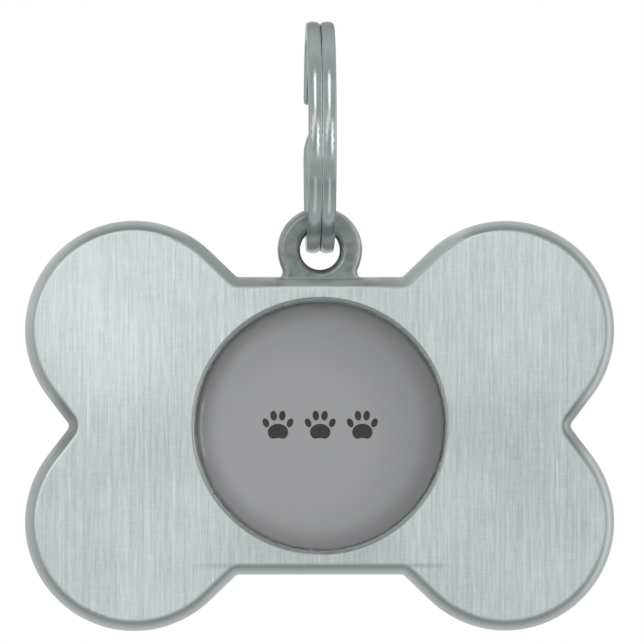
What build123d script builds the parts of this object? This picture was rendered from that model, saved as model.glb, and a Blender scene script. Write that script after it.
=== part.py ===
from build123d import *

import os
from math import cos, degrees, hypot, radians, sin, sqrt, tan

# Bone-shaped pet tag on a split ring, in millimetres.
# The ring stands in the YZ plane with its centre at the origin.
# The tag hangs below it in the XZ plane, and its face looks along -Y.

# Split ring: flat-sided wire with a crowned outer face, wound to two turns
ring_outer_diameter = 15.0
wire_width = 0.88
wire_depth = 1.25
wire_corner_radius = 0.32
wire_crown_radius = 0.9
wire_shoulder_radius = 0.14
wire_end_radius = 0.1
coil_gap = 0.03
jog_length = 3.4
jog_below_centre = 1.05
end_clearance = 0.2

# Bone plate: four round lobes on a bar, with straight flanks down to tight necks and end notches
lobe_radius = 7.06
lobe_spacing_x = 24.0
lobe_spacing_z = 12.4
bar_margin = 1.27
neck_angle = 44
neck_radius = 0.4
notch_angle = 52.5
notch_radius = 0.4
plate_thickness = 2.5
front_rim_radius = 0.82
back_rim_radius = 0.4

# Hanging eye on the bar's top edge
bore_play = 0.32
bore_fit_gap = 0.06
eye_wall = 1.45
eye_thickness = 1.7
eye_edge_radius = 0.42
eye_rise = 1.76
eye_root_radius = 0.5
eye_root_sink = 0.15
eye_root_depth = 0.75

# Round insert and the pocket that holds it
disc_diameter = 16.0
disc_thickness = 0.4
adhesive_margin = 0.4
adhesive_thickness = 0.15
insert_clearance = 0.05
pocket_mouth_radius = 0.3
dome_wall_height = 0.1
dome_roll_radius = 0.8
dome_crown_rise = 0.15
dome_proud_height = 0.4

# Ring and wire
ring_outer_radius = ring_outer_diameter / 2
ring_inner_radius = ring_outer_radius - wire_depth
ring_mean_radius = ring_outer_radius - wire_depth / 2
coil_offset = (wire_width + coil_gap) / 2
full_turn = 360
jog_start_angle = -degrees(jog_below_centre / ring_mean_radius)
jog_end_angle = jog_start_angle + degrees(jog_length / ring_mean_radius)
end_angle = degrees(end_clearance / ring_mean_radius)

# The bore clears the two turns all round, and rests on the inner corners of the wire
corner_x = coil_offset + wire_width / 2 - wire_corner_radius
corner_z = wire_depth / 2 - wire_corner_radius
bore_radius = hypot(corner_x, corner_z) + wire_corner_radius + bore_play
corner_reach = bore_radius - bore_fit_gap - wire_corner_radius
wire_above_bore = sqrt(corner_reach**2 - corner_x**2) + wire_corner_radius
bore_z = -(ring_inner_radius + wire_above_bore)
eye_radius = bore_radius + eye_wall

# Insert, from its dome back to the pocket's floor
front_y = -plate_thickness / 2
back_y = plate_thickness / 2
disc_radius = disc_diameter / 2
adhesive_radius = disc_radius - adhesive_margin
pocket_radius = disc_radius + insert_clearance
dome_height = dome_wall_height + dome_roll_radius + dome_crown_rise
disc_front_y = front_y - dome_proud_height + dome_height
disc_back_y = disc_front_y + disc_thickness
pocket_floor_y = disc_back_y + adhesive_thickness

# The bar frames the pocket, and the eye stands on the bar
bar_height = 2 * (pocket_radius + pocket_mouth_radius + bar_margin)
plate_z = bore_z - eye_rise - bar_height / 2


def facing_plane(y, z):
    """Plane that looks along -Y, as the tag's face does, with +Z up."""
    return Plane(origin=(0, y, z), x_dir=(1, 0, 0), z_dir=(0, -1, 0))


def ring_point(axial, angle):
    """Point on the wire's centre line, its angle turning from +Y towards +Z."""
    return Vector(axial, ring_mean_radius * cos(radians(angle)), ring_mean_radius * sin(radians(angle)))


def ring_tangent(angle):
    return Vector(0, -sin(radians(angle)), cos(radians(angle)))


def turn_arcs(axial, first_angle, last_angle):
    """One flat turn of wire, as two arcs of under half a turn each."""
    middle_angle = (first_angle + last_angle) / 2
    for start, stop in ((first_angle, middle_angle), (middle_angle, last_angle)):
        ThreePointArc(
            ring_point(axial, start),
            ring_point(axial, (start + stop) / 2),
            ring_point(axial, stop),
        )


def jog_arcs(first_angle, last_angle):
    """Two tangent arcs that carry the wire from the first turn across to the second."""
    start = ring_point(-coil_offset, first_angle)
    stop = ring_point(coil_offset, last_angle)
    leave = ring_tangent(first_angle)
    arrive = ring_tangent(last_angle)
    span = stop - start
    both = leave + arrive
    # Both arcs share one tangent where the length of span - handle * both is 2 * handle
    square = both.dot(both) - 2**2
    linear = span.dot(both)
    handle = (linear - sqrt(linear**2 - square * span.dot(span))) / square
    middle = (start + leave * handle + stop - arrive * handle) / 2
    first_arc = TangentArc(start, middle, tangent=leave)
    TangentArc(middle, stop, tangent=first_arc % 1)


def blend(circle_x, circle_y, circle_radius, blend_radius, blend_y, side):
    """Centre, across, of an arc that touches a circle from outside, and the point where they touch."""
    reach = circle_radius + blend_radius
    blend_x = circle_x + side * sqrt(reach**2 - (blend_y - circle_y) ** 2)
    touch_share = circle_radius / reach
    touch = (
        circle_x + (blend_x - circle_x) * touch_share,
        circle_y + (blend_y - circle_y) * touch_share,
    )
    return blend_x, touch


def flank_foot(touch, angle, foot_y):
    """Place, across, where the straight flank through a point comes down to a given height."""
    return touch[0] - (touch[1] - foot_y) / tan(radians(angle))


def along(start, angle, length):
    """Point at a distance from another, up a flank."""
    return start[0] + length * cos(radians(angle)), start[1] + length * sin(radians(angle))


def least_coil_gap(path, samples=720):
    """Least gap between one turn and the next, from points along the wire."""
    points = [path @ (index / samples) for index in range(samples + 1)]
    # The wire makes two turns, so points of different turns are at least a quarter of the list apart
    half_turn = samples // 4
    return min(
        (first - second).length - wire_width
        for index, first in enumerate(points)
        for second in points[index + half_turn :]
    )


# Wire section: rounded corners towards the ring's centre, and a crown with tight shoulders outwards
side_x = wire_width / 2
inner_y = -wire_depth / 2
crown_y = wire_depth / 2 - wire_crown_radius
shoulder_x = side_x - wire_shoulder_radius
shoulder_y = crown_y + sqrt((wire_crown_radius - wire_shoulder_radius) ** 2 - shoulder_x**2)
shoulder_share = wire_crown_radius / (wire_crown_radius - wire_shoulder_radius)
shoulder_end = (shoulder_x * shoulder_share, crown_y + (shoulder_y - crown_y) * shoulder_share)


# Split ring: one wire, whose crossover lies on the ring's far side
with BuildPart() as split_ring:
    with BuildLine() as wire_path:
        turn_arcs(-coil_offset, jog_end_angle + end_angle, full_turn + jog_start_angle)
        jog_arcs(full_turn + jog_start_angle, full_turn + jog_end_angle)
        turn_arcs(coil_offset, full_turn + jog_end_angle, 2 * full_turn + jog_start_angle - end_angle)
    wire_line = wire_path.wire()
    with BuildSketch(Plane(origin=wire_line @ 0, x_dir=(1, 0, 0), z_dir=wire_line % 0)):
        with BuildLine():
            Line((0, inner_y), (side_x - wire_corner_radius, inner_y))
            TangentArc((side_x - wire_corner_radius, inner_y), (side_x, inner_y + wire_corner_radius), tangent=(1, 0))
            Line((side_x, inner_y + wire_corner_radius), (side_x, shoulder_y))
            TangentArc((side_x, shoulder_y), shoulder_end, tangent=(0, 1))
            TangentArc((0, wire_depth / 2), shoulder_end, tangent=(1, 0))
            mirror(about=Plane.YZ)
        make_face()
    # A copy of the path beside it keeps the wire's flat sides square to the ring's axis
    sweep(path=wire_line, binormal=wire_line.moved(Location((wire_width, 0, 0))))
    wire_ends = split_ring.faces().filter_by(GeomType.PLANE).sort_by(SortBy.AREA)[:2]
    fillet(wire_ends.edges(), wire_end_radius)
split_ring.part.label = "split_ring"
print(f"split ring: wire {wire_line.length:.2f} mm long, turns {least_coil_gap(wire_line):.3f} mm apart")


# Hanging eye: a round boss whose flared root sinks into the bar's top edge
root_y = -eye_rise - eye_root_sink
root_x, root_touch = blend(0, 0, eye_radius, eye_root_radius, root_y + eye_root_radius, 1)

with BuildPart() as eye:
    with BuildSketch(facing_plane(0, bore_z)):
        with BuildLine():
            TangentArc((0, eye_radius), root_touch, tangent=(1, 0))
            TangentArc((root_x, root_y), root_touch, tangent=(-1, 0))
            Polyline((root_x, root_y), (root_x, root_y - eye_root_depth), (0, root_y - eye_root_depth))
            mirror(about=Plane.YZ)
        make_face()
        Circle(bore_radius, mode=Mode.SUBTRACT)
    extrude(amount=eye_thickness / 2, both=True)
    fillet(eye.faces().filter_by(Axis.Y).edges(), eye_edge_radius)


# Tag body: bone plate with rounded rims, its eye, and the pocket in its face
lobe_x = lobe_spacing_x / 2
lobe_y = lobe_spacing_z / 2
bar_y = bar_height / 2
# A flank touches its lobe a quarter turn from its own direction
quarter_turn = 90
notch_touch = along((lobe_x, lobe_y), notch_angle - quarter_turn, lobe_radius)
neck_touch = along((lobe_x, lobe_y), neck_angle + quarter_turn, lobe_radius)
# Each sharp corner is cut back by the length that its round takes up
notch_x = flank_foot(notch_touch, notch_angle, 0)
notch_end = along((notch_x, 0), notch_angle, notch_radius / tan(radians(notch_angle)))
notch_bottom = notch_x + notch_radius / sin(radians(notch_angle)) - notch_radius
neck_x = flank_foot(neck_touch, neck_angle, bar_y)
neck_cut = neck_radius * tan(radians(neck_angle / 2))
neck_end = along((neck_x, bar_y), neck_angle, neck_cut)

with BuildPart() as tag_body:
    with BuildSketch(facing_plane(back_y, plate_z)):
        with BuildLine():
            TangentArc((notch_bottom, 0), notch_end, tangent=(0, 1))
            notch_flank = Line(notch_end, notch_touch)
            TangentArc(notch_touch, neck_touch, tangent=notch_flank % 1)
            Line(neck_touch, neck_end)
            TangentArc((neck_x - neck_cut, bar_y), neck_end, tangent=(1, 0))
            Line((neck_x - neck_cut, bar_y), (0, bar_y))
            mirror(about=Plane.YZ)
            mirror(about=Plane.XZ)
        make_face()
    extrude(amount=plate_thickness)
    fillet(tag_body.faces().sort_by(Axis.Y)[0].edges(), front_rim_radius)
    fillet(tag_body.faces().sort_by(Axis.Y)[-1].edges(), back_rim_radius)
    add(eye.part)
    with BuildSketch(facing_plane(pocket_floor_y, plate_z)):
        Circle(pocket_radius)
    extrude(amount=pocket_floor_y - front_y, mode=Mode.SUBTRACT)
    front_face = tag_body.faces().sort_by(Axis.Y)[0]
    fillet(front_face.inner_wires().edges(), pocket_mouth_radius)
tag_body.part.label = "tag_body"


# Adhesive pad on the pocket's floor
with BuildPart() as adhesive_disc:
    with BuildSketch(facing_plane(pocket_floor_y, plate_z)):
        Circle(adhesive_radius)
    extrude(amount=adhesive_thickness)
adhesive_disc.part.label = "adhesive_disc"


# Printed disc on the pad
with BuildPart() as printed_disc:
    with BuildSketch(facing_plane(disc_back_y, plate_z)):
        Circle(disc_radius)
    extrude(amount=disc_thickness)
printed_disc.part.label = "printed_disc"


# Resin dome: a short wall, a rolled edge and a shallow crown, each tangent to the next
roll_x = disc_radius - dome_roll_radius
roll_below_apex = dome_roll_radius + dome_crown_rise
crown_radius = (roll_x**2 + roll_below_apex**2 - dome_roll_radius**2) / (2 * dome_crown_rise)
roll_share = crown_radius / (crown_radius - dome_roll_radius)
roll_end = (roll_x * roll_share, dome_height - crown_radius + (crown_radius - roll_below_apex) * roll_share)

with BuildPart() as resin_dome:
    with BuildSketch(Plane(origin=(0, disc_front_y, plate_z), x_dir=(1, 0, 0), z_dir=(0, 0, -1))):
        with BuildLine():
            Polyline((0, dome_height), (0, 0), (disc_radius, 0), (disc_radius, dome_wall_height))
            TangentArc((disc_radius, dome_wall_height), roll_end, tangent=(0, 1))
            TangentArc((0, dome_height), roll_end, tangent=(1, 0))
        make_face()
    revolve(axis=Axis((0, disc_front_y, plate_z), (0, -1, 0)))
resin_dome.part.label = "resin_dome"


os.makedirs("parts", exist_ok=True)
for piece in (split_ring, tag_body, adhesive_disc, printed_disc, resin_dome):
    export_step(piece.part, f"parts/{piece.part.label}.step")
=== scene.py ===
import math

import bpy
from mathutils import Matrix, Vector


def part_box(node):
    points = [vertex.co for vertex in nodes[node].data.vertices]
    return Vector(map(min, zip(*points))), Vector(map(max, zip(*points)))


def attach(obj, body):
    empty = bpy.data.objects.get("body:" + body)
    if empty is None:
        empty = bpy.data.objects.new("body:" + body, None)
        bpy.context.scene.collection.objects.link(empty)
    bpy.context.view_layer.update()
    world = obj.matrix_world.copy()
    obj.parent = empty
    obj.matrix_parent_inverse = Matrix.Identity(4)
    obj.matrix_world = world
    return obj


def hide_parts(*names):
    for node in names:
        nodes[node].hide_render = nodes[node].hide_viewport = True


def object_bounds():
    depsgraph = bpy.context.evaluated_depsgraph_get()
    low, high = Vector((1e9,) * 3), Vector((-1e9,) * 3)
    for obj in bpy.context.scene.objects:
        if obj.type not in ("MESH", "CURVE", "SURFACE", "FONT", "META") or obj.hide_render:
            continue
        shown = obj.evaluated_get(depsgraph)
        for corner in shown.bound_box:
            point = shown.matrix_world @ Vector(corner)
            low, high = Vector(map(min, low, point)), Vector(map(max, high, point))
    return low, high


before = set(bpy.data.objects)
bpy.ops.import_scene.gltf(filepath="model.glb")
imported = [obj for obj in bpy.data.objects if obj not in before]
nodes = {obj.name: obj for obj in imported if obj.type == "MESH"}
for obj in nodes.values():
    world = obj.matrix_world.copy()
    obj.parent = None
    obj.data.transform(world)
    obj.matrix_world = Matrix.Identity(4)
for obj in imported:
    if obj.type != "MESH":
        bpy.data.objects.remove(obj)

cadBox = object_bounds()
print("frame loaded:", ", ".join(sorted(nodes)))


# modelling helpers

def deselectAll():
    if bpy.context.object and bpy.context.object.mode != "OBJECT":
        bpy.ops.object.mode_set(mode="OBJECT")
    bpy.ops.object.select_all(action="DESELECT")


def pick(piece):
    deselectAll()
    piece.select_set(True)
    bpy.context.view_layer.objects.active = piece


def finishPiece(piece, bodyName, smoothAngle):
    # the place goes into the mesh, so patterns on object coordinates stay where they are
    pick(piece)
    bpy.ops.object.transform_apply(location=True, rotation=True, scale=True)
    bpy.ops.object.mode_set(mode="EDIT")
    bpy.ops.mesh.select_all(action="SELECT")
    bpy.ops.mesh.normals_make_consistent(inside=False)
    bpy.ops.object.mode_set(mode="OBJECT")
    bpy.ops.object.shade_smooth_by_angle(angle=math.radians(smoothAngle))
    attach(piece, bodyName)
    deselectAll()


# material helpers

def addNode(tree, kind, place, **settings):
    node = tree.nodes.new(kind)
    node.location = place
    for name, value in settings.items():
        setattr(node, name, value)
    return node


def feed(tree, socket, value):
    if isinstance(value, bpy.types.NodeSocket):
        tree.links.new(value, socket)
    else:
        socket.default_value = value


def mathNode(tree, place, operation, *values, clamp=False):
    node = addNode(tree, "ShaderNodeMath", place, operation=operation, use_clamp=clamp)
    for socket, value in zip(node.inputs, values):
        feed(tree, socket, value)
    return node.outputs[0]


def mapRange(tree, place, source, fromMin, fromMax, toMin=0.0, toMax=1.0):
    node = addNode(tree, "ShaderNodeMapRange", place, interpolation_type="SMOOTHSTEP")
    sockets = ("Value", "From Min", "From Max", "To Min", "To Max")
    for name, value in zip(sockets, (source, fromMin, fromMax, toMin, toMax)):
        feed(tree, node.inputs[name], value)
    return node.outputs["Result"]


def mixColour(tree, place, factor, first, second):
    node = addNode(tree, "ShaderNodeMix", place, data_type="RGBA")
    factorSocket, firstSocket, secondSocket = node.inputs[0], node.inputs[6], node.inputs[7]
    feed(tree, factorSocket, factor)
    feed(tree, firstSocket, first if isinstance(first, bpy.types.NodeSocket) else (*first, 1.0))
    feed(tree, secondSocket, second if isinstance(second, bpy.types.NodeSocket) else (*second, 1.0))
    return node.outputs[2]


def mixValue(tree, place, factor, first, second):
    node = addNode(tree, "ShaderNodeMix", place, data_type="FLOAT")
    feed(tree, node.inputs[0], factor)
    feed(tree, node.inputs[2], first)
    feed(tree, node.inputs[3], second)
    return node.outputs[0]


def weighted(tree, place, parts, start=0.0):
    # adds up values, each times its weight
    total = start
    for step, (source, weight) in enumerate(parts):
        total = mathNode(tree, (place[0] + 170 * step, place[1]), "MULTIPLY_ADD", source, weight, total)
    return total


def varied(tree, place, middle, spread, pattern):
    # a value that wanders about its middle with a pattern
    return mathNode(tree, place, "MULTIPLY_ADD", pattern, spread, middle - spread / 2)


def radialFade(tree, place, source, centre, zeroAt, oneAt):
    # by the distance from a centre in the tag's plane: 0 at zeroAt, 1 at oneAt, level past both
    flat = addNode(tree, "ShaderNodeVectorMath", place, operation="MULTIPLY")
    tree.links.new(source, flat.inputs[0])
    flat.inputs[1].default_value = (1.0, 0.0, 1.0)
    away = addNode(tree, "ShaderNodeVectorMath", (place[0] + 180, place[1]), operation="DISTANCE")
    tree.links.new(flat.outputs[0], away.inputs[0])
    away.inputs[1].default_value = (centre[0], 0.0, centre[1])
    return mapRange(tree, (place[0] + 360, place[1]), away.outputs["Value"], zeroAt, oneAt)


def nearAny(tree, place, source, centres, end, full):
    # 1 close to any of these centres, fading to 0 at the end distance
    total = 0.0
    for row, centre in enumerate(centres):
        near = radialFade(tree, (place[0], place[1] - 200 * row), source, centre, end, full)
        total = mathNode(tree, (place[0] + 600, place[1] - 200 * row), "MAXIMUM", near, total)
    return total


def newMaterial(name):
    material = bpy.data.materials.new(name)
    material.use_nodes = True
    tree = material.node_tree
    tree.nodes.clear()
    output = addNode(tree, "ShaderNodeOutputMaterial", (900, 0))
    shader = addNode(tree, "ShaderNodeBsdfPrincipled", (600, 0))
    tree.links.new(shader.outputs["BSDF"], output.inputs["Surface"])
    place = addNode(tree, "ShaderNodeTexCoord", (-1800, 0)).outputs["Object"]
    return material, tree, shader, place


def addBump(tree, shader, height, strength, distance):
    bump = addNode(tree, "ShaderNodeBump", (350, -500))
    bump.inputs["Strength"].default_value = strength
    bump.inputs["Distance"].default_value = distance
    tree.links.new(height, bump.inputs["Height"])
    tree.links.new(bump.outputs["Normal"], shader.inputs["Normal"])


def dress(piece, material):
    piece.data.materials.clear()
    piece.data.materials.append(material)


# shared node groups, which give masks and values only

patterns = {
    "streakDetail": 3.0,
    "streakRoughness": 0.6,
    "speckDetail": 1.0,
    "speckSharpness": 12.0,
    "scratchBody": 0.6,  # how far from its middle, as a share of its half length, a scratch stays full
}


def newGroup(name, inputs, output):
    group = bpy.data.node_groups.new(name, "ShaderNodeTree")
    for label, kind in inputs:
        group.interface.new_socket(label, in_out="INPUT", socket_type="NodeSocket" + kind)
    group.interface.new_socket(output, in_out="OUTPUT", socket_type="NodeSocketFloat")
    start = addNode(group, "NodeGroupInput", (-900, 0))
    stop = addNode(group, "NodeGroupOutput", (700, 0))
    return group, start.outputs, stop.inputs[output]


def makeStreakGroup():
    # noise pulled out along the brushing, or along a wire
    group, given, result = newGroup(
        "streaks", (("Vector", "Vector"), ("Stretch", "Vector"), ("Contrast", "Float")), "Streaks")
    scaled = addNode(group, "ShaderNodeVectorMath", (-700, 0), operation="MULTIPLY")
    noise = addNode(group, "ShaderNodeTexNoise", (-500, 0))
    noise.inputs["Scale"].default_value = 1.0
    noise.inputs["Detail"].default_value = patterns["streakDetail"]
    noise.inputs["Roughness"].default_value = patterns["streakRoughness"]
    group.links.new(given["Vector"], scaled.inputs[0])
    group.links.new(given["Stretch"], scaled.inputs[1])
    group.links.new(scaled.outputs[0], noise.inputs["Vector"])
    centred = mathNode(group, (-300, 0), "SUBTRACT", noise.outputs["Fac"], 0.5)
    streaks = mathNode(group, (-100, 0), "MULTIPLY_ADD", centred, given["Contrast"], 0.5, clamp=True)
    group.links.new(streaks, result)
    return group


def makeSpeckGroup():
    # sparse small pits
    group, given, result = newGroup(
        "specks", (("Vector", "Vector"), ("Scale", "Float"), ("Limit", "Float")), "Specks")
    noise = addNode(group, "ShaderNodeTexNoise", (-500, 0))
    noise.inputs["Detail"].default_value = patterns["speckDetail"]
    group.links.new(given["Vector"], noise.inputs["Vector"])
    group.links.new(given["Scale"], noise.inputs["Scale"])
    over = mathNode(group, (-300, 0), "SUBTRACT", noise.outputs["Fac"], given["Limit"])
    specks = mathNode(group, (-100, 0), "MULTIPLY", over, patterns["speckSharpness"], clamp=True)
    group.links.new(specks, result)
    return group


def makeScratchGroup():
    # one upright scratch that fades out at both ends
    inputs = [("Vector", "Vector")]
    inputs += [(label, "Float") for label in ("Across", "Top", "Bottom", "Width")]
    group, given, result = newGroup("scratch", inputs, "Scratch")
    split = addNode(group, "ShaderNodeSeparateXYZ", (-700, 0))
    group.links.new(given["Vector"], split.inputs["Vector"])
    aside = mathNode(group, (-500, 300), "SUBTRACT", split.outputs["X"], given["Across"])
    aside = mathNode(group, (-300, 300), "ABSOLUTE", aside)
    aside = mathNode(group, (-100, 300), "DIVIDE", aside, given["Width"])
    near = mathNode(group, (100, 300), "SUBTRACT", 1.0, aside, clamp=True)
    ends = mathNode(group, (-700, -200), "ADD", given["Top"], given["Bottom"])
    middle = mathNode(group, (-500, -200), "MULTIPLY", ends, 0.5)
    reach = mathNode(group, (-300, -350), "SUBTRACT", given["Top"], middle)
    away = mathNode(group, (-300, -100), "SUBTRACT", split.outputs["Z"], middle)
    away = mathNode(group, (-100, -100), "ABSOLUTE", away)
    away = mathNode(group, (100, -100), "DIVIDE", away, reach)
    along = mapRange(group, (300, -100), away, 1.0, patterns["scratchBody"])
    group.links.new(mathNode(group, (500, 0), "MULTIPLY", near, along), result)
    return group


streakGroup = makeStreakGroup()
speckGroup = makeSpeckGroup()
scratchGroup = makeScratchGroup()


def useGroup(tree, place, group, vector, **values):
    node = addNode(tree, "ShaderNodeGroup", place, node_tree=group)
    tree.links.new(vector, node.inputs["Vector"])
    for name, value in values.items():
        node.inputs[name].default_value = value
    return node.outputs[0]


# tag body: upright brushing on the flat faces, polish on the rims, a duller eye

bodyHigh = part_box("tag_body")[1]
discLow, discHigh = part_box("printed_disc")
discCentreZ = (discLow.z + discHigh.z) / 2
discCentre = (0.0, discCentreZ)
discRadius = discHigh.x
alloy = {
    "faceLight": (0.69, 0.76, 0.75),
    "faceDark": (0.41, 0.46, 0.455),
    "scratch": (0.80, 0.86, 0.855),
    "rim": (0.42, 0.465, 0.46),
    "rimDark": (0.36, 0.40, 0.395),
    "paintedNotchShade": (0.26, 0.29, 0.285),
    "paintedRimLight": (0.57, 0.63, 0.625),
    "edge": (0.54, 0.595, 0.59),
    "eyeLight": (0.37, 0.41, 0.405),
    "eyeDark": (0.24, 0.265, 0.26),
    "eyeFootShade": (0.31, 0.345, 0.34),
    "pocketMouth": (0.37, 0.41, 0.405),
    "pocketWallPaintedLight": (0.82, 0.88, 0.875),
    "pit": (0.24, 0.26, 0.26),
    "faceRoughness": (0.42, 0.2),  # middle and spread
    "rimRoughness": (0.27, 0.1),
    "eyeDulling": 0.05,  # added to the rim's roughness on the eye and round the upper necks
    "neckDulling": 0.3,
    "faceMetal": 0.45,
    "footMetal": 0.6,
    "halfThickness": bodyHigh.y,
    "faceDepth": 0.0000006,  # the flat faces end this far below the front, and the rims start next
    "rimDepth": 0.000012,
    "edgeDepth": 0.00004,
    "mouth": (discRadius + 0.00030, discRadius + 0.00038),  # the pocket's mouth ends between these
    "wall": (discRadius + 0.00009, discRadius + 0.00020),
    "pocketBack": (0.0002, 0.0006),  # and its tones end behind its floor, between these
    "paintedLightAndShadePatches": (  # centre of a patch of painted light (lift above 0) and of painted shade (below 0), where it is full and where it ends, lift in tone
        ((-0.0128, -0.0098), 0.003, 0.0105, 0.25),
        ((0.0130, -0.0095), 0.002, 0.0100, 0.12),
        ((0.0120, -0.0188), 0.001, 0.0070, -0.20),
        ((0.0000, -0.0276), 0.003, 0.0080, -0.22),
    ),
    "paintedLitRims": (  # the same for painted light on the rim, where it turns up and to the left
        ((-0.0176, -0.0092), 0.0018, 0.0044, 0.38),
        ((0.0072, -0.0075), 0.0018, 0.0034, 0.8),
    ),
    # the next tones are 0 at the first and 1 at the second of two distances
    "necks": ((-0.0065, -0.0083), (0.0065, -0.0083)),
    "neckReach": (0.0036, 0.0022),
    "notches": ((-0.0161, discCentreZ), (0.0161, discCentreZ)),
    "notchReach": (0.0026, 0.0010),
    "eyeSides": (0.0042, 0.0024),
    "eyeBottom": (-0.0099, -0.009702),
    "footSides": (0.0030, 0.0020),
    "footTop": (-0.0089, -0.0092),
    "lines": (  # the brushing's streaks: repeats per metre across, through and along, and their share
        ((4600.0, 0.0, 60.0), 0.33),
        ((8000.0, 0.0, 420.0), 0.42),
        ((17000.0, 0.0, 1500.0), 0.25),
    ),
    "lineContrast": 1.7,
    "crossLines": (600.0, 0.0, 8000.0),
    "clouds": (130.0, 130.0, 110.0),
    "cloudContrast": 1.5,
    "blotches": (1500.0, 1500.0, 1500.0),
    "blotchContrast": 2.6,
    "toneStart": -0.65,
    "toneWeights": (1.65, 0.25, 0.4),  # what lines, cross lines and clouds add to the face's tone
    "pitScale": 2400.0,
    "pitLimit": 0.8,
    "bump": (0.3, 0.00002),  # strength, height
    "paintedCreaseShades": (  # painted shade along the creases beside the lower necks: height, right and left end, half width, lift in tone
        (-0.02768, -0.0005, -0.0088, 0.00020, -0.40),
        (-0.02768, 0.0088, 0.0005, 0.00020, -0.60),
    ),
    "scratches": (  # across, top, bottom, half width
        (-0.01498, -0.0138, -0.0204, 0.00005),
        (-0.00946, -0.0067, -0.0096, 0.00004),
        (-0.01189, -0.0147, -0.0174, 0.00004),
        (0.01180, -0.0085, -0.0118, 0.00004),
        (0.01530, -0.0205, -0.0240, 0.00004),
    ),
}


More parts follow.
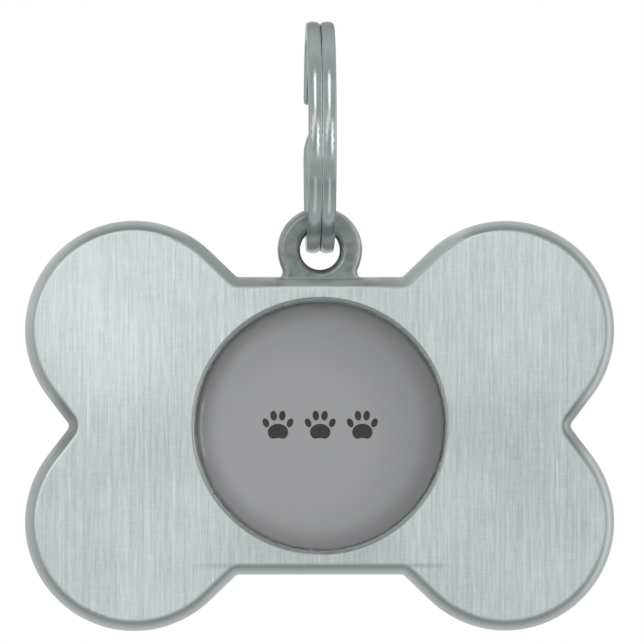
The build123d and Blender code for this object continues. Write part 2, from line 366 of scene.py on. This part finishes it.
def makeAlloy():
    material, tree, shader, place = newMaterial("brushedAlloy")
    split = addNode(tree, "ShaderNodeSeparateXYZ", (-1600, -400))
    tree.links.new(place, split.inputs["Vector"])
    through = mathNode(tree, (-1600, -550), "ABSOLUTE", split.outputs["Y"])
    depth = mathNode(tree, (-1400, -400), "SUBTRACT", alloy["halfThickness"], through)
    behind = mapRange(tree, (-1400, -1050), split.outputs["Y"], *alloy["pocketBack"])
    outside = radialFade(tree, (-1700, -1200), place, discCentre, *alloy["mouth"])
    outside = mathNode(tree, (-1100, -1200), "MAXIMUM", outside, behind)
    face = mapRange(tree, (-1200, -400), depth, alloy["rimDepth"], alloy["faceDepth"])
    face = mathNode(tree, (-1000, -400), "MULTIPLY", face, outside)
    # painted highlight: the rim just next to the flat faces takes a lighter colour
    edge = mapRange(tree, (-1200, -600), depth, alloy["edgeDepth"], alloy["rimDepth"])
    edge = mathNode(tree, (-1000, -600), "MULTIPLY", edge, outside)
    across = mathNode(tree, (-1400, -800), "ABSOLUTE", split.outputs["X"])
    eyeSide = mapRange(tree, (-1200, -800), across, *alloy["eyeSides"])
    # the eye's tone reaches down over the rim below it, as painted shade under the eye
    eyeAbove = mapRange(tree, (-1200, -1000), split.outputs["Z"], *alloy["eyeBottom"])
    eyeToneAndPaintedShadeBelow = mathNode(tree, (-1000, -900), "MULTIPLY", eyeSide, eyeAbove)
    # painted shade: the rim under the eye's foot takes an even darker tone
    footSide = mapRange(tree, (-800, -800), across, *alloy["footSides"])
    footBelow = mapRange(tree, (-800, -1000), split.outputs["Z"], *alloy["footTop"])
    paintedFootShade = mathNode(tree, (-600, -900), "MULTIPLY", footSide, footBelow)
    paintedFootShade = mathNode(tree, (-450, -900), "MULTIPLY", paintedFootShade, eyeToneAndPaintedShadeBelow)

    lines = 0.0
    for row, (stretch, share) in enumerate(alloy["lines"]):
        streaks = useGroup(tree, (-1400, 700 - 200 * row), streakGroup, place,
                           Stretch=stretch, Contrast=alloy["lineContrast"])
        lines = mathNode(tree, (-1150 + 170 * row, 500), "MULTIPLY_ADD", streaks, share, lines)
    crossLines = useGroup(tree, (-1400, 100), streakGroup, place,
                          Stretch=alloy["crossLines"], Contrast=alloy["lineContrast"])
    clouds = useGroup(tree, (-1400, -100), streakGroup, place,
                      Stretch=alloy["clouds"], Contrast=alloy["cloudContrast"])
    parts = zip((lines, crossLines, clouds), alloy["toneWeights"])
    tone = weighted(tree, (-1150, 250), parts, start=alloy["toneStart"])
    # painted light and painted shade: patches that lighten and darken the faces where the light falls
    for row, (centre, full, end, lift) in enumerate(alloy["paintedLightAndShadePatches"]):
        near = radialFade(tree, (-1700, -1600 - 200 * row), place, centre, end, full)
        near = mathNode(tree, (-1100, -1600 - 200 * row), "SUBTRACT", near, behind, clamp=True)
        tone = mathNode(tree, (-900, -1600 - 200 * row), "MULTIPLY_ADD", near, lift, tone)
    # the painted crease shades are drawn as wide scratches that lie level, so height and width change
    # places for them
    turned = addNode(tree, "ShaderNodeCombineXYZ", (-1300, 1100))
    for name, source in (("X", "Z"), ("Y", "Y"), ("Z", "X")):
        tree.links.new(split.outputs[source], turned.inputs[name])
    for row, (height, right, left, width, lift) in enumerate(alloy["paintedCreaseShades"]):
        scratchAndPaintedCreaseMark = useGroup(tree, (-1100, 900 + 180 * row), scratchGroup, turned.outputs["Vector"],
                        Across=height, Top=right, Bottom=left, Width=width)
        scratchAndPaintedCreaseMark = mathNode(tree, (-1000, 900 + 180 * row), "SUBTRACT", scratchAndPaintedCreaseMark, behind, clamp=True)
        tone = mathNode(tree, (-900, 900 + 180 * row), "MULTIPLY_ADD", scratchAndPaintedCreaseMark, lift, tone)
    faceColour = mixColour(tree, (-500, 400), tone, alloy["faceDark"], alloy["faceLight"])
    scratchMask = 0.0
    for row, (side, top, bottom, width) in enumerate(alloy["scratches"]):
        scratchAndPaintedCreaseMark = useGroup(tree, (-900, 900 + 180 * row), scratchGroup, place,
                        Across=side, Top=top, Bottom=bottom, Width=width)
        scratchMask = mathNode(tree, (-650, 900 + 180 * row), "MAXIMUM", scratchAndPaintedCreaseMark, scratchMask)
    faceColour = mixColour(tree, (-320, 400), scratchMask, faceColour, alloy["scratch"])
    pits = useGroup(tree, (-650, 150), speckGroup, place, Scale=alloy["pitScale"], Limit=alloy["pitLimit"])
    faceColour = mixColour(tree, (-140, 400), pits, faceColour, alloy["pit"])

    rimColour = mixColour(tree, (-500, -200), clouds, alloy["rimDark"], alloy["rim"])
    # painted shade: the rim turns darker round the notches at the ends of the tag
    paintedNotchShade = nearAny(tree, (-1700, -3000), place, alloy["notches"], *alloy["notchReach"])
    rimColour = mixColour(tree, (-400, -300), paintedNotchShade, rimColour, alloy["paintedNotchShade"])
    # painted light: the rim turns lighter where it faces up and to the left
    for row, (centre, full, end, lift) in enumerate(alloy["paintedLitRims"]):
        paintedRimLight = radialFade(tree, (-1700, -3500 - 200 * row), place, centre, end, full)
        paintedRimLight = mathNode(tree, (-1100, -3500 - 200 * row), "MULTIPLY", paintedRimLight, lift)
        rimColour = mixColour(tree, (-360, -300 - 100 * row), paintedRimLight, rimColour, alloy["paintedRimLight"])
    blotches = useGroup(tree, (-900, -200), streakGroup, place,
                        Stretch=alloy["blotches"], Contrast=alloy["blotchContrast"])
    eyeColour = mixColour(tree, (-700, -200), blotches, alloy["eyeDark"], alloy["eyeLight"])
    eyeColour = mixColour(tree, (-600, -350), paintedFootShade, eyeColour, alloy["eyeFootShade"])
    rimColour = mixColour(tree, (-320, -200), eyeToneAndPaintedShadeBelow, rimColour, eyeColour)
    rimColour = mixColour(tree, (-140, -200), edge, rimColour, alloy["edge"])
    rimColour = mixColour(tree, (-80, -200), outside, alloy["pocketMouth"], rimColour)
    # painted light: the pocket's wall and floor take a much lighter colour
    pastWall = radialFade(tree, (-1700, -1400), place, discCentre, *alloy["wall"])
    pastWall = mathNode(tree, (-1100, -1400), "MAXIMUM", pastWall, behind)
    rimColour = mixColour(tree, (-20, -200), pastWall, alloy["pocketWallPaintedLight"], rimColour)
    tree.links.new(mixColour(tree, (100, 300), face, rimColour, faceColour), shader.inputs["Base Color"])

    faceRough = varied(tree, (-320, -450), *alloy["faceRoughness"], lines)
    neck = nearAny(tree, (-1700, -2500), place, alloy["necks"], *alloy["neckReach"])
    rimRough = varied(tree, (-500, -650), *alloy["rimRoughness"], clouds)
    dulling = ((eyeToneAndPaintedShadeBelow, alloy["eyeDulling"]), (neck, alloy["neckDulling"]))
    rimRough = weighted(tree, (-330, -650), dulling, start=rimRough)
    tree.links.new(mixValue(tree, (100, -200), face, rimRough, faceRough), shader.inputs["Roughness"])
    metal = mixValue(tree, (-100, -50), paintedFootShade, 1.0, alloy["footMetal"])
    metal = mixValue(tree, (100, -50), face, metal, alloy["faceMetal"])
    tree.links.new(metal, shader.inputs["Metallic"])
    addBump(tree, shader, mathNode(tree, (100, -500), "MULTIPLY", lines, face), *alloy["bump"])
    return material


dress(nodes["tag_body"], makeAlloy())
print("tag body finished")


# split ring: plated wire, polished, with faint drawing lines along it

ringFinish = {
    "light": (0.36, 0.40, 0.395),
    "dark": (0.30, 0.335, 0.33),
    "paintedSeamLight": (0.76, 0.82, 0.815),
    "ringFootPaintedLight": (0.42, 0.46, 0.455),
    "grazing": (0.48, 0.52, 0.515, 1.0),
    "roughness": (0.18, 0.06),  # middle and spread
    "seamReach": (0.00009, 0.00004),  # where the painted light on the seam between the turns ends, and where it is full
    "seamBack": (0.0060, 0.0050),  # it stops short of the crossover at the back
    "ringFootLightReach": (-0.0060, -0.0068),  # between these heights, where it hangs in the eye, it takes a lighter painted light and less metal
    "ringFootMetal": 0.5,
    "drawnLines": (9000.0, 120.0, 120.0),
    "drawnContrast": 1.5,
    "clouds": (500.0, 500.0, 500.0),
    "cloudContrast": 1.6,
    "drawnShare": 0.5,
    "bump": (0.015, 0.00002),
}


def makeRingSteel():
    material, tree, shader, place = newMaterial("platedWire")
    drawn = useGroup(tree, (-600, 100), streakGroup, place,
                     Stretch=ringFinish["drawnLines"], Contrast=ringFinish["drawnContrast"])
    clouds = useGroup(tree, (-600, -150), streakGroup, place,
                      Stretch=ringFinish["clouds"], Contrast=ringFinish["cloudContrast"])
    tone = mixValue(tree, (-400, 100), ringFinish["drawnShare"], clouds, drawn)
    colour = mixColour(tree, (-50, 200), tone, ringFinish["dark"], ringFinish["light"])
    split = addNode(tree, "ShaderNodeSeparateXYZ", (-900, 500))
    tree.links.new(place, split.inputs["Vector"])
    # painted light: the seam between the turns takes a lighter colour against its shade
    aside = mathNode(tree, (-700, 600), "ABSOLUTE", split.outputs["X"])
    paintedSeamLight = mapRange(tree, (-500, 600), aside, *ringFinish["seamReach"])
    front = mapRange(tree, (-500, 400), split.outputs["Y"], *ringFinish["seamBack"])
    paintedSeamLight = mathNode(tree, (-300, 500), "MULTIPLY", paintedSeamLight, front)
    colour = mixColour(tree, (150, 200), paintedSeamLight, colour, ringFinish["paintedSeamLight"])
    # painted light: the ring's foot in the eye turns lighter and less metallic against the shade there
    ringFootPaintedLight = mapRange(tree, (-500, 800), split.outputs["Z"], *ringFinish["ringFootLightReach"])
    colour = mixColour(tree, (330, 200), ringFootPaintedLight, colour, ringFinish["ringFootPaintedLight"])
    tree.links.new(colour, shader.inputs["Base Color"])
    roughness = varied(tree, (-50, -100), *ringFinish["roughness"], clouds)
    tree.links.new(roughness, shader.inputs["Roughness"])
    metal = mixValue(tree, (330, 50), ringFootPaintedLight, 1.0, ringFinish["ringFootMetal"])
    tree.links.new(metal, shader.inputs["Metallic"])
    shader.inputs["Specular Tint"].default_value = ringFinish["grazing"]
    addBump(tree, shader, drawn, *ringFinish["bump"])
    return material


dress(nodes["split_ring"], makeRingSteel())
print("split ring finished")


# printed disc, whose grey deepens towards its edge as painted shade, and the pad behind it

sheet = {
    "ink": (0.433, 0.435, 0.443),
    "paintedShadeInk": (0.307, 0.309, 0.315),
    "edgeInk": (0.175, 0.176, 0.181),
    "paintedWideShadeFade": ((-0.0012, discCentreZ - 0.0010), 0.0033, 0.0091),  # centre, start, end
    "edgeFade": ((-0.0001, discCentreZ - 0.0002), 0.0062, 0.0081),
    "roughness": (0.5, 0.12),
    "grain": (9000.0, 9000.0, 9000.0),
    "grainContrast": 1.2,
    "grainDepth": 0.1,
}
padFinish = {
    "light": (0.82, 0.82, 0.80),
    "dark": (0.70, 0.70, 0.67),
    "roughness": (0.825, 0.15),
    "cells": (5000.0, 5000.0, 5000.0),
    "cellContrast": 1.8,
    "bump": (0.2, 0.00002),
}


def makePrintedSheet():
    material, tree, shader, place = newMaterial("printedSheet")
    # painted shade: the grey deepens towards the edge and towards the upper right
    paintedWideShade = radialFade(tree, (-1200, 400), place, *sheet["paintedWideShadeFade"])
    edge = radialFade(tree, (-1200, 200), place, *sheet["edgeFade"])
    grain = useGroup(tree, (-1000, -100), streakGroup, place,
                     Stretch=sheet["grain"], Contrast=sheet["grainContrast"])
    speckle = varied(tree, (-700, 100), 0.0, sheet["grainDepth"], grain)
    paintedWideShadeAndGrain = mathNode(tree, (-500, 300), "ADD", paintedWideShade, speckle)
    colour = mixColour(tree, (-300, 300), paintedWideShadeAndGrain, sheet["ink"], sheet["paintedShadeInk"])
    colour = mixColour(tree, (-100, 200), edge, colour, sheet["edgeInk"])
    tree.links.new(colour, shader.inputs["Base Color"])
    roughness = varied(tree, (-300, -150), *sheet["roughness"], grain)
    tree.links.new(roughness, shader.inputs["Roughness"])
    return material


def makePad():
    material, tree, shader, place = newMaterial("adhesivePad")
    cells = useGroup(tree, (-450, 0), streakGroup, place,
                     Stretch=padFinish["cells"], Contrast=padFinish["cellContrast"])
    colour = mixColour(tree, (-150, 100), cells, padFinish["dark"], padFinish["light"])
    tree.links.new(colour, shader.inputs["Base Color"])
    roughness = varied(tree, (-150, -100), *padFinish["roughness"], cells)
    tree.links.new(roughness, shader.inputs["Roughness"])
    addBump(tree, shader, cells, *padFinish["bump"])
    return material


dress(nodes["printed_disc"], makePrintedSheet())
dress(nodes["adhesive_disc"], makePad())
print("printed disc and pad finished")


# printed motif: a row of three plain paw prints, as thin films of ink on the disc

motif = {
    "pitch": 0.00272,
    "thickness": 0.000006,
    "sunk": 0.000002,
    "sides": 40,
    "pad": (0.0, -0.00040, 0.00066, 0.00054, 0.0),  # across, up, half width, half height, lean in degrees
    "toes": (
        (-0.00078, 0.00020, 0.00020, 0.00030, -24.0),
        (-0.00028, 0.00066, 0.00021, 0.00032, -7.0),
        (0.00028, 0.00066, 0.00021, 0.00032, 7.0),
        (0.00078, 0.00020, 0.00020, 0.00030, 24.0),
    ),
    "heelLift": 0.00016,
    "heelReach": 0.000495,
    "smoothAngle": 30.0,
    "ink": (0.006, 0.0062, 0.0066),
    "inkLight": (0.012, 0.0122, 0.013),
    "roughness": (0.575, 0.15),
    "grain": (12000.0, 12000.0, 12000.0),
    "grainContrast": 1.5,
}
printFront = discLow.y


def addInkSpot(across, up, halfWidth, halfHeight, lean):
    deselectAll()
    bpy.ops.mesh.primitive_circle_add(
        vertices=motif["sides"], radius=halfWidth, fill_type="NGON",
        location=(across, printFront + motif["sunk"], discCentreZ + up),
        rotation=(math.pi / 2, math.radians(lean), 0))
    spot = bpy.context.object
    spot.scale.y = halfHeight / halfWidth
    bpy.ops.object.transform_apply(location=True, rotation=True, scale=True)
    return spot


def makePaw():
    pad = addInkSpot(*motif["pad"])
    # the heel is drawn up a little in the middle
    bpy.ops.object.mode_set(mode="EDIT")
    bpy.ops.mesh.select_all(action="DESELECT")
    bpy.ops.object.mode_set(mode="OBJECT")
    lowest = min(pad.data.vertices, key=lambda vertex: vertex.co.z)
    lowest.select = True
    bpy.ops.object.mode_set(mode="EDIT")
    bpy.ops.transform.translate(
        value=(0, 0, motif["heelLift"]), use_proportional_edit=True,
        proportional_edit_falloff="SMOOTH", proportional_size=motif["heelReach"])
    bpy.ops.object.mode_set(mode="OBJECT")
    spots = [pad] + [addInkSpot(*toe) for toe in motif["toes"]]
    pick(pad)
    for spot in spots:
        spot.select_set(True)
    bpy.ops.object.join()
    bpy.ops.object.mode_set(mode="EDIT")
    bpy.ops.mesh.select_all(action="SELECT")
    bpy.ops.mesh.extrude_region_move(TRANSFORM_OT_translate={"value": (0, -motif["thickness"], 0)})
    bpy.ops.object.mode_set(mode="OBJECT")
    return pad


def makeInk():
    material, tree, shader, place = newMaterial("charcoalInk")
    grain = useGroup(tree, (-450, 0), streakGroup, place,
                     Stretch=motif["grain"], Contrast=motif["grainContrast"])
    colour = mixColour(tree, (-150, 100), grain, motif["ink"], motif["inkLight"])
    tree.links.new(colour, shader.inputs["Base Color"])
    roughness = varied(tree, (-150, -100), *motif["roughness"], grain)
    tree.links.new(roughness, shader.inputs["Roughness"])
    return material


def makeMotif():
    ink = makeInk()
    first = makePaw()
    first.name = "pawPrint1"
    paws = [first]
    for number in (2, 3):
        pick(first)
        bpy.ops.object.duplicate(linked=False)
        copy = bpy.context.object
        copy.name = f"pawPrint{number}"
        paws.append(copy)
    for paw, step in zip(paws, (-1, 0, 1)):
        paw.location.x = step * motif["pitch"]
        finishPiece(paw, "tag", motif["smoothAngle"])
        dress(paw, ink)
    return paws


print("motif printed:", len(makeMotif()), "paw prints")


# resin dome: modelled over the print and bonded to it, so its base lies a hair below the print

domeLow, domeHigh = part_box("resin_dome")
dome = {
    "radius": domeHigh.x,
    "height": domeHigh.y - domeLow.y,
    "wall": 0.0001,
    "roll": 0.0008,
    "rollSteps": 14,
    "crownRings": 24,
    "segments": 192,
    "sunk": 0.00002,
    "smoothAngle": 40.0,
    "tint": (0.97, 0.975, 0.975, 1.0),
    "refraction": 1.46,
    "roughness": (0.05, 0.06),
    "smears": (260.0, 260.0, 260.0),
    "smearContrast": 1.6,
}


def domeProfile():
    # radius and height of each ring, from the top of the wall to the crown
    rollCentre = dome["radius"] - dome["roll"]
    below = dome["height"] - dome["wall"]
    crownRadius = (rollCentre**2 + below**2 - dome["roll"]**2) / (2 * (below - dome["roll"]))
    crownTurn = math.asin(rollCentre / (crownRadius - dome["roll"]))
    yield dome["radius"], dome["wall"]
    for step in range(1, dome["rollSteps"] + 1):
        angle = (math.pi / 2 - crownTurn) * step / dome["rollSteps"]
        yield rollCentre + dome["roll"] * math.cos(angle), dome["wall"] + dome["roll"] * math.sin(angle)
    for ring in range(1, dome["crownRings"]):
        angle = crownTurn * (1 - ring / dome["crownRings"])
        yield crownRadius * math.sin(angle), dome["height"] - crownRadius * (1 - math.cos(angle))


def makeDome():
    deselectAll()
    bpy.ops.mesh.primitive_circle_add(
        vertices=dome["segments"], radius=dome["radius"], fill_type="NGON",
        location=(0, domeHigh.y + dome["sunk"], discCentreZ), rotation=(math.pi / 2, 0, 0))
    piece = bpy.context.object
    piece.name = "resinDome"
    bpy.ops.object.transform_apply(location=True, rotation=True, scale=True)
    bpy.ops.object.mode_set(mode="EDIT")
    bpy.ops.mesh.select_all(action="SELECT")
    lastRadius, lastHeight = dome["radius"], -dome["sunk"]
    for radius, height in domeProfile():
        bpy.ops.mesh.extrude_region_move(TRANSFORM_OT_translate={"value": (0, lastHeight - height, 0)})
        share = radius / lastRadius
        bpy.ops.transform.resize(value=(share, 1, share), center_override=(0, 0, discCentreZ))
        lastRadius, lastHeight = radius, height
    bpy.ops.mesh.poke()
    bpy.ops.object.mode_set(mode="OBJECT")
    finishPiece(piece, "tag", dome["smoothAngle"])
    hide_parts("resin_dome")
    return piece


def makeResin():
    material, tree, shader, place = newMaterial("clearResin")
    smears = useGroup(tree, (-450, 0), streakGroup, place,
                      Stretch=dome["smears"], Contrast=dome["smearContrast"])
    roughness = varied(tree, (-150, -100), *dome["roughness"], smears)
    tree.links.new(roughness, shader.inputs["Roughness"])
    shader.inputs["Base Color"].default_value = dome["tint"]
    shader.inputs["Transmission Weight"].default_value = 1.0
    shader.inputs["IOR"].default_value = dome["refraction"]
    return material


resinDome = makeDome()
dress(resinDome, makeResin())
print("resin dome modelled:", len(resinDome.data.polygons), "faces")


# floor, backdrop, lights and camera

studio = {
    "floorDrop": 0.02,
    "floorSize": 0.7,
    "floorCells": 4,
    "floorTone": (0.85, 0.85, 0.85, 1.0),
    "floorRoughness": 0.9,
    "floorGlow": 0.22,  # seen by the camera alone, so the floor is pale and keeps its shadow
    "worldLight": 0.5,
    "cardRadius": 0.8,
    "cardSegments": 48,
    "cardRings": 36,
    "cardTurn": (-0.8, -0.1),  # its tone changes between these, -1 being straight ahead and 0 its rim
    "cardTones": (0.52, 0.85),
    "glowRadius": 0.75,
    "glows": (  # azimuth and elevation in degrees, where the glow is full and where it ends, strength
        (-20.0, 3.0, 2.0, 11.0, 0.95),
        (-15.0, 14.0, 3.0, 11.0, 1.05),
        (-2.0, 20.0, 3.0, 10.0, 1.2),
        (20.0, -3.0, 3.0, 8.0, 1.1),
        (95.0, 0.0, 20.0, 60.0, 0.6),
        (48.0, 0.0, 10.0, 30.0, 0.25),
        (-50.0, 5.0, 15.0, 40.0, 0.25),
    ),
    "ringStrips": (  # azimuth and elevation in degrees, width and height in metres, watts
        (-1.0, 46.0, 0.13, 0.34, 0.33),
        (20.0, -2.0, 0.13, 0.27, 0.20),
        (4.0, -62.0, 0.16, 0.36, 0.11),
        (2.0, 18.0, 1.60, 0.90, 1.10),
        (2.0, -32.0, 1.20, 0.25, 0.25),
    ),
    "domeStrips": ((-80.0, -2.0, 0.30, 0.24, 0.55),),
    "stripDistance": 0.5,
    "keyLamp": ((-0.07, -0.10, 0.08), 0.07, 0.165),  # place, size in metres, watts
    "fillLamp": ((0.30, -0.30, 0.02), 0.30, 0.30),
}
view = {
    "imageSize": 644,
    "pixelsPerMetre": 15450.0,
    "azimuth": -1.5,
    "distance": 0.42,
    "clipStart": 0.01,
    "tagCentrePixel": (319.8, 425.7),
}


def makeFloor():
    deselectAll()
    bpy.ops.mesh.primitive_grid_add(
        x_subdivisions=studio["floorCells"], y_subdivisions=studio["floorCells"],
        size=studio["floorSize"], location=(0, 0, cadBox[0].z - studio["floorDrop"]))
    floor = bpy.context.object
    floor.name = "floor"
    material, tree, shader = newMaterial("paleFloor")[:3]
    shader.inputs["Base Color"].default_value = studio["floorTone"]
    shader.inputs["Roughness"].default_value = studio["floorRoughness"]
    shader.inputs["Emission Color"].default_value = (1.0, 1.0, 1.0, 1.0)
    path = addNode(tree, "ShaderNodeLightPath", (100, -300))
    glow = mathNode(tree, (350, -300), "MULTIPLY", path.outputs["Is Camera Ray"], studio["floorGlow"])
    tree.links.new(glow, shader.inputs["Emission Strength"])
    dress(floor, material)
    floor.visible_glossy = False  # metal mirrors the card and the backdrop instead


def makeWorld():
    world = bpy.data.worlds.new("studioWorld")
    bpy.context.scene.world = world
    world.use_nodes = True
    tree = world.node_tree
    tree.nodes.clear()
    path = addNode(tree, "ShaderNodeLightPath", (-500, 200))
    seen = 0.0
    for row, ray in enumerate(("Is Camera Ray", "Is Glossy Ray", "Is Transmission Ray")):
        seen = mathNode(tree, (-300 + 150 * row, 200), "MAXIMUM", path.outputs[ray], seen)
    sky = addNode(tree, "ShaderNodeBackground", (250, 0))
    sky.inputs["Color"].default_value = (1, 1, 1, 1)
    tree.links.new(mixValue(tree, (80, 0), seen, studio["worldLight"], 1.0), sky.inputs["Strength"])
    output = addNode(tree, "ShaderNodeOutputWorld", (500, 0))
    tree.links.new(sky.outputs["Background"], output.inputs["Surface"])


def towards(azimuth, elevation):
    # direction from the tag, straight ahead being -Y
    turn, rise = math.radians(azimuth), math.radians(elevation)
    return Vector((math.sin(turn) * math.cos(rise), -math.cos(turn) * math.cos(rise), math.sin(rise)))


def receivers(name, *pieces):
    # the only pieces that a linked light or card reaches
    chosen = bpy.data.collections.new(name)
    for piece in pieces:
        chosen.objects.link(piece)
    return chosen


def makeCard(name, target, radius, reached=()):
    # half a globe round the camera, which only metal and resin mirror
    deselectAll()
    bpy.ops.mesh.primitive_uv_sphere_add(
        segments=studio["cardSegments"], ring_count=studio["cardRings"], radius=radius,
        location=target, rotation=(math.pi / 2, 0, 0))
    card = bpy.context.object
    card.name = name
    bpy.ops.object.transform_apply(location=False, rotation=True, scale=True)
    bpy.ops.object.mode_set(mode="EDIT")
    bpy.ops.mesh.select_all(action="SELECT")
    bpy.ops.mesh.bisect(plane_co=target, plane_no=(0, 1, 0), clear_outer=True)
    bpy.ops.object.mode_set(mode="OBJECT")
    card.visible_camera = False
    card.visible_diffuse = False
    card.visible_transmission = False
    card.visible_shadow = False
    material = bpy.data.materials.new(name)
    material.use_nodes = True
    tree = material.node_tree
    tree.nodes.clear()
    dress(card, material)
    place = addNode(tree, "ShaderNodeTexCoord", (-900, 0)).outputs["Object"]
    way = addNode(tree, "ShaderNodeVectorMath", (-700, 0), operation="NORMALIZE")
    tree.links.new(place, way.inputs[0])
    light = addNode(tree, "ShaderNodeEmission", (150, 0))
    surface = light.outputs["Emission"]
    if reached:
        # a clear card lets what is behind it through
        clear = addNode(tree, "ShaderNodeBsdfTransparent", (150, -150))
        both = addNode(tree, "ShaderNodeAddShader", (350, 0))
        tree.links.new(surface, both.inputs[0])
        tree.links.new(clear.outputs["BSDF"], both.inputs[1])
        surface = both.outputs["Shader"]
        card.light_linking.receiver_collection = receivers(name + "Only", *reached)
    output = addNode(tree, "ShaderNodeOutputMaterial", (550, 0))
    tree.links.new(surface, output.inputs["Surface"])
    return tree, way.outputs[0], light.inputs["Strength"]


def makeGreyCard(target):
    tree, way, strength = makeCard("greyCard", target, studio["cardRadius"])
    split = addNode(tree, "ShaderNodeSeparateXYZ", (-500, -200))
    tree.links.new(way, split.inputs["Vector"])
    tone = mapRange(
        tree, (-300, -200), split.outputs["Y"], *studio["cardTurn"], *studio["cardTones"])
    tree.links.new(tone, strength)


def makeGlowCard(target):
    # soft glows in front of the grey card, for the metal alone
    metal = (nodes["tag_body"], nodes["split_ring"])
    tree, way, strength = makeCard("glowCard", target, studio["glowRadius"], metal)
    total = 0.0
    for row, (azimuth, elevation, full, end, power) in enumerate(studio["glows"]):
        nearness = addNode(tree, "ShaderNodeVectorMath", (-500, 200 * row), operation="DOT_PRODUCT")
        tree.links.new(way, nearness.inputs[0])
        nearness.inputs[1].default_value = towards(azimuth, elevation)
        glow = mapRange(tree, (-300, 200 * row), nearness.outputs["Value"],
                        math.cos(math.radians(end)), math.cos(math.radians(full)), 0.0, power)
        total = mathNode(tree, (-100, 200 * row), "ADD", total, glow)
    tree.links.new(total, strength)


def makeLamp(name, target, place, size, power):
    data = bpy.data.lights.new(name, "AREA")
    data.size = size
    data.energy = power
    lamp = bpy.data.objects.new(name, data)
    bpy.context.scene.collection.objects.link(lamp)
    lamp.location = place
    lamp.rotation_mode = "QUATERNION"
    lamp.rotation_quaternion = (target - Vector(place)).to_track_quat("-Z", "Y")
    lamp.visible_camera = False
    lamp.visible_glossy = False
    return lamp


def makeStrips(name, piece, target, strips):
    # lamps that light one piece alone
    chosen = receivers(name + "Only", piece)
    for number, (azimuth, elevation, width, height, power) in enumerate(strips, start=1):
        place = target + towards(azimuth, elevation) * studio["stripDistance"]
        lamp = makeLamp(f"{name}Strip{number}", target, place, width, power)
        lamp.data.shape = "RECTANGLE"
        lamp.data.size_y = height
        lamp.visible_glossy = True
        lamp.visible_transmission = False
        lamp.light_linking.receiver_collection = chosen


def makeCamera():
    half = view["imageSize"] / 2
    across, down = view["tagCentrePixel"]
    target = Vector((
        (half - across) / view["pixelsPerMetre"],
        0.0,
        discCentreZ + (down - half) / view["pixelsPerMetre"],
    ))
    back = towards(view["azimuth"], 0.0)
    data = bpy.data.cameras.new("photoCamera")
    camera = bpy.data.objects.new("photoCamera", data)
    bpy.context.scene.collection.objects.link(camera)
    camera.location = target + back * view["distance"]
    camera.rotation_mode = "QUATERNION"
    camera.rotation_quaternion = (-back).to_track_quat("-Z", "Y")
    data.lens = data.sensor_width * view["distance"] * view["pixelsPerMetre"] / view["imageSize"]
    data.clip_start = view["clipStart"]
    bpy.context.scene.camera = camera
    return target


makeFloor()
makeWorld()
viewTarget = makeCamera()
makeGreyCard(viewTarget)
makeGlowCard(viewTarget)
makeStrips("ring", nodes["split_ring"], Vector((0, 0, 0)), studio["ringStrips"])
makeStrips("dome", resinDome, Vector((0, 0, discCentreZ)), studio["domeStrips"])
makeLamp("keyLamp", viewTarget, *studio["keyLamp"])
makeLamp("fillLamp", viewTarget, *studio["fillLamp"])
bpy.context.scene.view_settings.view_transform = "Standard"
print("studio set")
